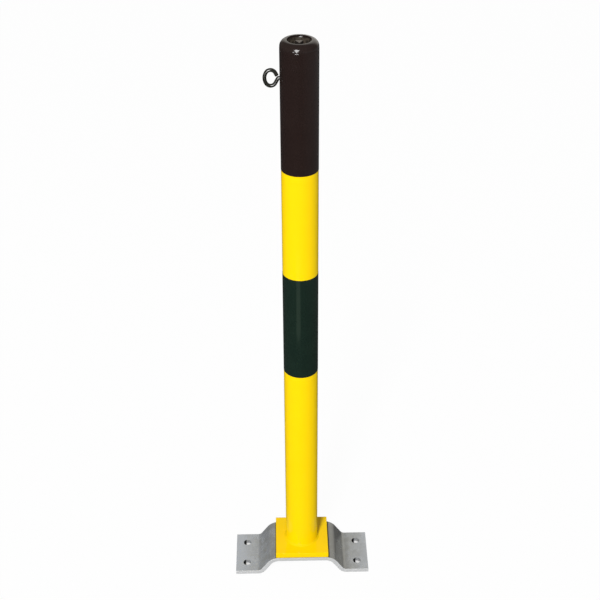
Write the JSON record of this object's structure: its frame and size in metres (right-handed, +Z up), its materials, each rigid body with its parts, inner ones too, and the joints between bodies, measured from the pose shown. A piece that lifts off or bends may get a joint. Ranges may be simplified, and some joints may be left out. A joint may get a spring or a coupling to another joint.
{
  "type": "removable bollard",
  "caption": "Lift-out steel post with dark bands and a chain eye, locked by a triangular key in its head onto a raised bracket with anchor holes.",
  "frame": {"origin": "on the ground, under the middle of the base bracket and the post's axis", "axes": "+Z up along the post, X along the bracket with the chain eye towards -X, +Y to the back as the picture is seen"},
  "size_m": [0.255, 0.1, 1.0595],
  "materials": {
    "galvanised_steel": "hot-dip galvanised, dull, softly mottled",
    "yellow_coating": "glossy powder coating",
    "brown_black_film": "glossy film",
    "green_black_film": "glossy film",
    "brown_black_paint": "glossy paint",
    "bare_steel": "turned, zinc plated",
    "dark_steel": "oiled dark steel",
    "white_nylon": "moulded",
    "black_eye_coating": "glossy black coating"
  },
  "bodies": {
    "base": {"base_bracket": "galvanised_steel"},
    "post": {"foot_plate": "yellow_coating", "locating_pin_front": "bare_steel", "locating_pin_rear": "bare_steel", "guide_bush": "bare_steel", "post_tube": "yellow_coating", "foot_weld": "yellow_coating", "upper_band": "brown_black_film", "lower_band": "green_black_film", "head_cap": "brown_black_paint", "lock_sleeve": "brown_black_paint", "bearing_plate": "brown_black_paint", "stop_pin": "bare_steel", "spindle_washer": "white_nylon", "eye_nut": "bare_steel", "chain_eye": "black_eye_coating"},
    "lock": {"key_spindle": "dark_steel", "stop_disc": "bare_steel", "disc_spring": "dark_steel", "retaining_ring": "dark_steel", "lock_rod": "bare_steel", "coupling_pin": "bare_steel", "hammer_head": "bare_steel", "hammer_pin": "bare_steel"}
  },
  "joints": [
    {"name": "post_lift", "type": "slide", "parent": "base", "child": "post", "axis": [0, 0, 1], "range_m": [0, 0.1]},
    {"name": "lock_turn", "type": "hinge", "parent": "post", "child": "lock", "pos_m": [0, 0, 0], "axis": [0, 0, 1], "range_deg": [0, 90]}
  ]
}
